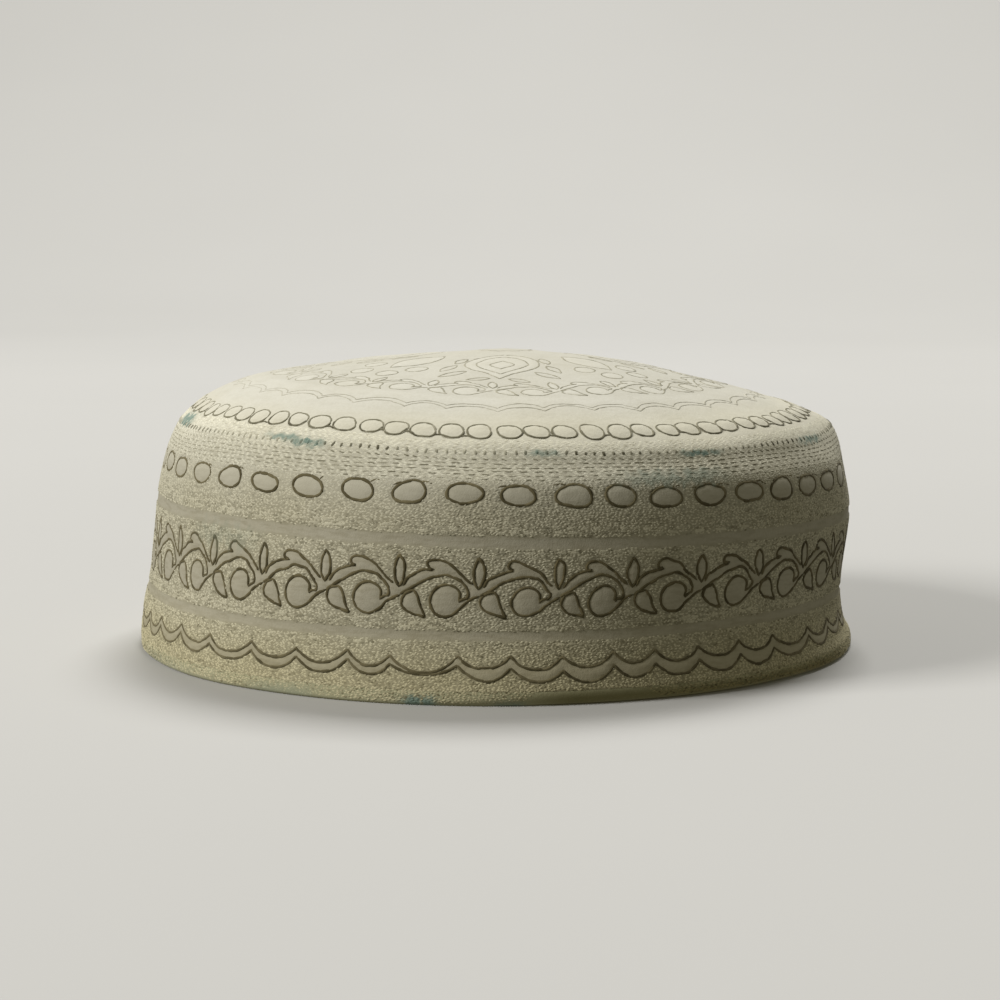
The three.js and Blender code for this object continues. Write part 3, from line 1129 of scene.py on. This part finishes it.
def thread_look(name, dark, light, amount=0.0, pit_shaded=False):
    """Cotton thread, each stitch a little lighter or darker than the next, with painted shade where it goes
    down.
    """
    look = Look(name, 0.88)
    look.shader.inputs["Sheen Weight"].default_value = 0.1
    colour = look.blend(look.value("shade"), dark, light)
    fray = look.ranged(look.noise(size=0.6), 0.3, 0.7)
    colour = look.blend(look.product(fray, 0.4), colour, FRAY, "MULTIPLY")
    # painted shade at the ends, where a stitch goes down into the cloth
    if pit_shaded:
        colour = look.blend(look.ranged(look.value("foot"), 0.5, 1.0), colour, PIT_SHADE, "MULTIPLY")
    twist = look.bump(look.noise(size=0.3, detail=2), distance=0.06, strength=0.5)
    return look.done(aged(look, colour, amount), twist)


# Cottons: plain cloth, sewn ground darkened with painted shade between the stitches, and how far they take
# part in the band's fading
band_cotton = cotton_look("band_cotton", (0.455, 0.426, 0.332), (0.41, 0.382, 0.28), 0.8, streaky=0.5)
crown_cotton = cotton_look("crown_cotton", (0.585, 0.57, 0.50), (0.55, 0.535, 0.466), from_shoulder=True)
hem_cotton = cotton_look("hem_cotton", (0.44, 0.43, 0.29), (0.44, 0.43, 0.29), 0.3)
inside_cotton = cotton_look("inside_cotton", (0.56, 0.535, 0.43), (0.56, 0.535, 0.43))

THREADS = {  # the darkest and the lightest stitch of each
    "olive": ((0.083, 0.069, 0.033), (0.168, 0.141, 0.075)),
    "faded_olive": ((0.095, 0.08, 0.04), (0.20, 0.172, 0.098)),
    # darker than mid_olive: painted shade along the small ovals' lower edges
    "shaded_olive": ((0.10, 0.09, 0.055), (0.22, 0.205, 0.14)),
    "mid_olive": ((0.19, 0.18, 0.12), (0.33, 0.31, 0.235)),
    "pale_olive": ((0.26, 0.248, 0.185), (0.42, 0.40, 0.315)),
    "faint_olive": ((0.37, 0.355, 0.285), (0.51, 0.49, 0.41)),
    "tick": ((0.12, 0.11, 0.07), (0.46, 0.44, 0.34)),
    # dark with painted shade, as in the grooves between the shoulder's rows
    "shaded_dash": ((0.17, 0.155, 0.10), (0.43, 0.408, 0.315)),
    "row": ((0.50, 0.475, 0.372), (0.755, 0.73, 0.60)),
}
threads = {name: thread_look(f"{name}_thread", *shades) for name, shades in THREADS.items()}
# with painted shade at its stitches' ends
cream_thread = thread_look("cream_thread", (0.24, 0.22, 0.15), (0.69, 0.655, 0.506), 1.0, pit_shaded=True)


# The pieces of cloth

BAND_COLUMNS = 760
CROWN_COLUMNS = 540
SKIN_ROW = 0.74
CROWN_ROW = 0.95
INSIDE_ROW = 8.0
PEAK_ROW = 1.2  # from the last ring to the peak


def row_runs(first, last, spacing):
    return np.linspace(first, last, int(round(abs(last - first) / spacing)) + 1)


def make_band():
    outer, inner = row_runs(0.0, SEAM_RUN, SKIN_ROW), row_runs(SEAM_RUN, 0.0, INSIDE_ROW)
    looks = [band_cotton, inside_cotton]
    piece = make_skin("band_cloth", outer, inner, BAND_COLUMNS, looks, has_peak=False)
    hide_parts("band")
    return piece


def make_crown():
    top = form.length - PEAK_ROW
    outer, inner = row_runs(SEAM_RUN, top, CROWN_ROW), row_runs(top, SEAM_RUN, INSIDE_ROW)
    looks = [crown_cotton, inside_cotton]
    piece = make_skin("crown_cloth", outer, inner, CROWN_COLUMNS, looks, has_peak=True)
    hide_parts("crown")
    return piece


HEM_COLUMNS = 480
HEM_ARC = 5
HEM_INNER_RADIUS = 0.9  # rounding of its inner foot
HEM_TOP_RADIUS = 0.2
HEM_DEPTH = 3.0
HEM_RISE = 0.3  # how far its top goes up to meet the band
HEM_MARKS = [mark for mark in STAINS if mark[1] < 4]


def hem_section(foot_radius, height):
    """The rolled hem's section for each foot radius, anticlockwise from its outer foot: reach and height."""
    quarter = np.linspace(0, np.pi / 2, HEM_ARC)[:, None]

    def arc(x, z, radius, first):
        radius = radius + np.zeros(len(foot_radius))
        return np.stack([x + radius * np.cos(first + quarter), z + radius * np.sin(first + quarter)], -1)

    return np.concatenate([
        arc(-foot_radius, foot_radius, foot_radius, -np.pi / 2),
        arc(-HEM_TOP_RADIUS, height - HEM_TOP_RADIUS, HEM_TOP_RADIUS, 0),
        arc(HEM_TOP_RADIUS - HEM_DEPTH, height - HEM_TOP_RADIUS, HEM_TOP_RADIUS, np.pi / 2),
        arc(HEM_INNER_RADIUS - HEM_DEPTH, HEM_INNER_RADIUS, HEM_INNER_RADIUS, np.pi),
    ])


def make_hem():
    """The rolled strip the cap stands on: it follows the band's foot, uneven where it was turned by hand."""
    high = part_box("rim_hem")[1]
    bearings = np.arange(HEM_COLUMNS) * 360 / HEM_COLUMNS
    angle = np.radians(bearings)
    section = hem_section(hem_roll(bearings), high.z / MM + HEM_RISE)
    centre, radius = form.ring(np.array(0.0))[:2]
    reach = section[..., 0] + radius + centre * np.sin(angle) + wear(bearings, np.zeros(HEM_COLUMNS))
    reach = np.minimum(reach, high.x / MM)
    height = section[..., 1]
    points = np.stack([reach * np.sin(angle), -reach * np.cos(angle), height], -1).reshape(-1, 3)
    faces, corner_rows, corner_columns = ring_faces(len(section), HEM_COLUMNS, closes=True)
    corner_uv = np.stack([corner_columns / HEM_COLUMNS, corner_rows / len(section)], -1).reshape(-1, 2)
    around, level = np.broadcast_to(bearings, reach.shape).ravel(), height.ravel()
    marks = dye(around, level, HEM_MARKS, ragged=0, fall=2)
    # painted shade on the turned edge at the front right
    values = {"plain": np.ones(len(points)), "stain": marks, "rim_shade": rim_shade(around, level)}
    piece = make_piece("hem_cloth", points, faces.tolist(), [hem_cotton], corner_uv, values)
    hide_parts("rim_hem")
    return piece


# The needlework

HEM_STIPPLE_FOOT = 1.0  # lowest stitches, above the turned edge
BAND_STIPPLE_FOOT = 3.9


def kept(places, which):
    """Those of the stitches' bearings, runs, angles and lengths that are kept."""
    return [numbers[which] for numbers in places]


def on_ground(places, clearance):
    """The stitches that lie on the ground between the motifs, clear of every outline."""
    bearing, run, angle, length = places
    degrees_per_mm = form.degrees_per_mm(run)
    fits = ~plain_cloth(bearing, run)
    for share in (-0.5, 0.0, 0.5):
        end_bearing = bearing + share * length * np.cos(angle) * degrees_per_mm
        end_run = run + share * length * np.sin(angle)
        fits &= distances(all_lines, end_bearing, end_run) > clearance
        fits &= ~plain_cloth(end_bearing, end_run)
        strips = in_strip(end_run, LOWER_STRIP, 0.1) + in_strip(end_run, UPPER_STRIP, 0.1)
        fits &= strips < 0.5
    return kept(places, fits)


def scattered(low_run, high_run, row, pitch, shifted, stray=0.3, waver=0.2):
    """Bearings and runs of places in wavering rows right round, each row shifted or not."""
    bearing, run = [], []
    for level in np.arange(low_run, high_run, row):
        count = int(2 * np.pi * form.radius(level) / pitch)
        shift = rng.uniform(0, 1) if shifted else 0
        number = np.arange(count) + shift + rng.uniform(-stray, stray, count)
        bearing.append(number * 360 / count % 360)
        run.append(level + rng.uniform(-waver, waver, count))
    return np.concatenate(bearing), np.concatenate(run)


def stipple_places(low_run, high_run):
    """Long stitches in wavering rows, then short ones in the gaps they leave."""
    bearing, run = scattered(low_run, high_run, STIPPLE_ROW, STIPPLE_PITCH, shifted=True)
    angle = np.clip(rng.normal(0, STIPPLE_SLANT, len(run)), -STIPPLE_STEEPEST, STIPPLE_STEEPEST)
    length = rng.uniform(*STIPPLE_VARIES, len(run)) * STIPPLE_STITCH
    long = on_ground([bearing, run, angle, length], STIPPLE_CLEARANCE)
    tree = finder(form.point(long[0], long[1]))
    bearing, run = scattered(low_run, high_run, GAP_ROW, GAP_PITCH, shifted=False)
    free = distances(tree, bearing, run) > GAP_FREE
    bearing, run = bearing[free], run[free]
    angle = rng.normal(0, GAP_SLANT, len(run))
    length = rng.uniform(*GAP_STITCH, len(run))
    short = on_ground([bearing, run, angle, length], GAP_CLEARANCE)
    return [np.concatenate(pair) for pair in zip(long, short)]


def mostly_pale(count):
    """A shade for each stitch: most are pale, and a few much darker."""
    return 1 - rng.uniform(0, 1, count) ** 3


def make_stipple():
    """The dense small stitches of the ground: on the hem, and below and above the vine's middle."""
    for name, low, high, node, slot in (
        ("stipple_hem", HEM_STIPPLE_FOOT, BAND_STIPPLE_FOOT, "rim_hem", "hem_cotton"),
        ("stipple_lower", BAND_STIPPLE_FOOT, VINE_HEIGHT, "band", "band_cotton"),
        ("stipple_upper", VINE_HEIGHT, STIPPLE_TOP, "band", "band_cotton"),
    ):
        places = stipple_places(form.at_height(low), form.at_height(high))
        *bare, bare_height = BARE_FOLD
        places = kept(places, form.height(places[1]) > bare_height * within(places[0], bare))
        shade = mostly_pale(len(places[0]))
        piece = sew_stitches(name, places, STIPPLE_THREAD, cream_thread, shade, SHORT_RINGS)
        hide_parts(node)


def at_runs(rows):
    """Rows with their runs in place of their heights."""
    return [(form.at_height(height), *measures) for height, *measures in rows]


def row_places(rows, slant=0.05, waver=0.2, stray=0.1):
    """Stitches in level rows right round, from each row's run, stitch length and gap."""
    bearing, run, length = [], [], []
    for level, stitch, gap in rows:
        count = int(2 * np.pi * form.radius(level) / (stitch + gap))
        number = np.arange(count) + rng.uniform(0, 1) + rng.uniform(-stray, stray, count)
        around = number * 360 / count
        wave = waver * np.sin(np.radians(around) * 11 + level / 3)
        bearing.append(around % 360)
        run.append(level + (wave + rng.uniform(-stray, stray, count)))
        length.append(stitch * rng.uniform(0.88, 1.08, count))
    bearing, run, length = [np.concatenate(parts) for parts in (bearing, run, length)]
    clear = distances(all_lines, bearing, run) > ROW_CLEARANCE
    return kept([bearing, run, rng.normal(0, slant, len(run)), length], clear)


def make_edge_rows():
    """The rows of running stitches that border the plain strips."""
    places = row_places(at_runs(EDGE_ROWS))
    shade = rng.uniform(0.1, 0.9, len(places[0]))
    return sew_stitches("edge_rows", places, EDGE_THREAD, cream_thread, shade)


def make_shoulder_rows():
    """The close rows of pale stitches that cover the shoulder, and the running stitches over them, dark with
    painted shade.
    """
    first, last = form.at_height(SHOULDER_ROWS)
    levels = np.arange(first, last, SHOULDER_ROW)
    places = row_places([(level, rng.uniform(*ROW_STITCH), ROW_GAP) for level in levels], ROW_SLANT)
    shade = mostly_pale(len(places[0]))
    look = threads["row"]
    pale = sew_stitches("shoulder_rows", places, ROW_THREAD, look, shade, SHORT_RINGS)
    dashes = row_places(at_runs(DASH_ROWS))
    commas = row_places(at_runs([COMMA_ROW]))
    commas[2] = commas[2] + COMMA_SLANT
    places = [np.concatenate(pair) for pair in zip(dashes, commas)]
    # paler on the lit left side: painted light
    shade = rng.uniform(0, 1, len(places[0])) + 0.8 * within(places[0], DASHES_LIT_BEARINGS)
    look = threads["shaded_dash"]
    dark = sew_stitches("shoulder_dashes", places, DASH_THREAD, look, shade, rest=DASH_REST)
    return [pale, dark]


def oval_tails():
    """Loose ends of dark thread along the ovals' upper edges, where one was finished and the next begun."""
    tails = []
    degrees_per_mm = form.degrees_per_mm(form.at_height(OVAL_HEIGHT))
    for oval in ovals:
        (left, _), (right, top) = oval.min(0), oval.max(0)
        eighth = len(oval) // 8
        if rng.uniform() < 0.75:
            start = oval[eighth + rng.integers(0, 3)]
            end = (right + rng.uniform(0.1, 1.8) * degrees_per_mm, top - rng.uniform(0.1, 1.3))
            tails.append(bowed(start, end))
        if rng.uniform() < 0.6:
            start = oval[3 * eighth - rng.integers(0, 3)]
            end = (left - rng.uniform(0.1, 1.2) * degrees_per_mm, top - rng.uniform(0.3, 1.6))
            tails.append(bowed(start, end))
    return tails


def bowed(start, end):
    """A short line that bows upwards a little on its way."""
    share = np.linspace(0, 1, 7)[:, None]
    line = np.asarray(start) * (1 - share) + np.asarray(end) * share
    return line + np.array([(0, rng.uniform(0.2, 0.6))]) * share * (1 - share) * 4


def make_ticks():
    """The short dark ticks along the seam, upright and a little uneven, in groups that fade."""
    height, spacing, tall = TICK_ROW
    level = form.at_height(height)
    count = int(2 * np.pi * form.radius(level) / spacing)
    bearing = (np.arange(count) + rng.uniform(-0.12, 0.12, count)) * 360 / count % 360
    run = level + rng.uniform(-0.15, 0.15, count)
    length = tall * rng.uniform(0.8, 1.2, count)
    angle = np.pi / 2 + rng.normal(0, 0.25, count)
    paleness = 0.5 + 0.5 * np.sin(np.radians(bearing) * TICK_GROUPS + run / 2)
    # paler on the lit left side: painted light
    paleness += 0.5 * within(bearing, DASHES_LIT_BEARINGS)
    shade = np.clip(paleness + rng.uniform(-0.3, 0.3, count), 0, 1)
    places, look = (bearing, run, angle, length), threads["tick"]
    return sew_stitches("seam_ticks", places, TICK_THREAD, look, shade, rest=DASH_REST)


def lower_arc(oval):
    """The lower half of a small oval, sewn again in thicker and darker thread: the darker colour is painted
    shade under its edge.
    """
    return oval[len(oval) // 2 - 1:]


def small_oval_links():
    """Thread carried on along the foot of the small ovals, from one to the next."""
    links = []
    for oval, following in zip(small_ovals, small_ovals[1:]):
        if rng.uniform() < 0.4:
            start = oval[-6 + rng.integers(0, 3)]
            end = following[len(following) // 2 + rng.integers(3, 7)]
            links.append(bowed(start, end))
    return links


band_cloth = make_band()
crown_cloth = make_crown()
hem_cloth = make_hem()
make_stipple()
tails = oval_tails()
band_work = [make_edge_rows(), *make_shoulder_rows(), make_ticks()]
for name, lines, thread, look in (
    ("vine_outline", band_vine, VINE_THREAD, "olive"),
    ("oval_outline", ovals, OVAL_THREAD, "faded_olive"),
    ("oval_tails", tails, TAIL_THREAD, "faded_olive"),
    ("scallop_outline", [scallop_upper, scallop_lower], SCALLOP_THREAD, "faded_olive"),
):
    band_work.append(sew_lines(name, lines, thread, threads[look]))
# The small ovals' lower arcs and the links along their foot are in darker thread: painted shade under the
# ovals
small_lower = [*(lower_arc(oval) for oval in small_ovals), *small_oval_links()]
crown_work = []
for name, lines, thread, look in (
    ("small_oval_upper", small_ovals, SMALL_OVAL_UPPER_THREAD, "mid_olive"),
    ("small_oval_lower", small_lower, SMALL_OVAL_LOWER_THREAD, "shaded_olive"),
    ("crown_outline", [*crown_vine, *petals], CROWN_THREAD, "pale_olive"),
    ("crown_scallop_outline", crown_scallops, CROWN_SCALLOP_THREAD, "faint_olive"),
):
    crown_work.append(sew_lines(name, lines, thread, threads[look]))
for piece in band_work:
    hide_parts("band")
for piece in crown_work:
    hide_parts("crown")


# Stage, light and camera

# The floor's and the lights' sizes and places are in metres.
FLOOR_HALF_WIDTH = 6.0
FLOOR_FRONT = -6.0
SWEEP_START = 1.6  # where the floor begins to curve up behind the cap
SWEEP_RADIUS = 1.6
SWEEP_STEPS = 24
SWEEP_TOP = 4.0
FLOOR_TONES = ((0.48, 0.476, 0.464), (0.51, 0.506, 0.494))
LIGHTS = [  # a large soft key from the left, and another from above and behind: place, power, colour
    ("key", (-3.16, -1.24, 2.16), 132.0, (1.0, 0.985, 0.955)),
    ("top", (0.47, 1.74, 3.16), 116.0, (1.0, 0.99, 0.97)),
]
LIGHT_SIZE = 1.4
LIGHT_TARGET = (0, 0, 0.04)
SURROUND = (1.0, 0.965, 0.78, 1.0)  # dim even light from all around
SURROUND_STRENGTH = 0.178
SENSOR_WIDTH = 36.0


def make_floor():
    """A pale floor that sweeps up into a backdrop. It takes light and shadow but throws none on the cap."""
    look = Look("studio_floor", 0.9)
    tone = look.blend(look.noise(size=400), *FLOOR_TONES)
    turn = np.linspace(0, np.pi / 2, SWEEP_STEPS)
    depth = [FLOOR_FRONT, *(SWEEP_START + SWEEP_RADIUS * np.sin(turn)), SWEEP_START + SWEEP_RADIUS]
    height = [0.0, *(SWEEP_RADIUS * (1 - np.cos(turn))), SWEEP_TOP]
    points = [(side * FLOOR_HALF_WIDTH, y, z) for y, z in zip(depth, height) for side in (-1, 1)]
    faces = [(row, row + 1, row + 3, row + 2) for row in range(0, len(points) - 2, 2)]
    mesh = bpy.data.meshes.new("studio_floor")
    mesh.from_pydata(points, [], faces)
    mesh.shade_smooth()
    mesh.materials.append(look.done(tone, look.bump(look.noise(size=3), distance=0.05, strength=0.1)))
    floor = bpy.data.objects.new("studio_floor", mesh)
    floor.visible_diffuse = False
    bpy.context.scene.collection.objects.link(floor)


def area_light(name, place, power, colour):
    light = bpy.data.lights.new(name, "AREA")
    light.size = LIGHT_SIZE
    light.energy = power
    light.color = colour
    lamp = bpy.data.objects.new(name, light)
    lamp.location = place
    lamp.rotation_euler = (Vector(LIGHT_TARGET) - Vector(place)).to_track_quat("-Z", "Y").to_euler()
    bpy.context.scene.collection.objects.link(lamp)


def make_light():
    for light in LIGHTS:
        area_light(*light)
    world = bpy.data.worlds.new("studio")
    world.use_nodes = True
    backdrop = world.node_tree.nodes["Background"]
    backdrop.inputs["Color"].default_value = SURROUND
    backdrop.inputs["Strength"].default_value = SURROUND_STRENGTH
    bpy.context.scene.world = world


def make_camera():
    camera = bpy.data.cameras.new("photo_camera")
    camera.lens = CAMERA_LENS
    camera.sensor_width = SENSOR_WIDTH
    camera.clip_start = 0.01
    holder = bpy.data.objects.new("photo_camera", camera)
    holder.location = Vector(CAMERA_PLACE) * MM
    holder.rotation_euler = (np.radians(90 - CAMERA_DOWN_DEG), 0, 0)
    bpy.context.scene.collection.objects.link(holder)
    bpy.context.scene.camera = holder


make_floor()
make_light()
make_camera()
bpy.context.scene.view_settings.view_transform = "Standard"
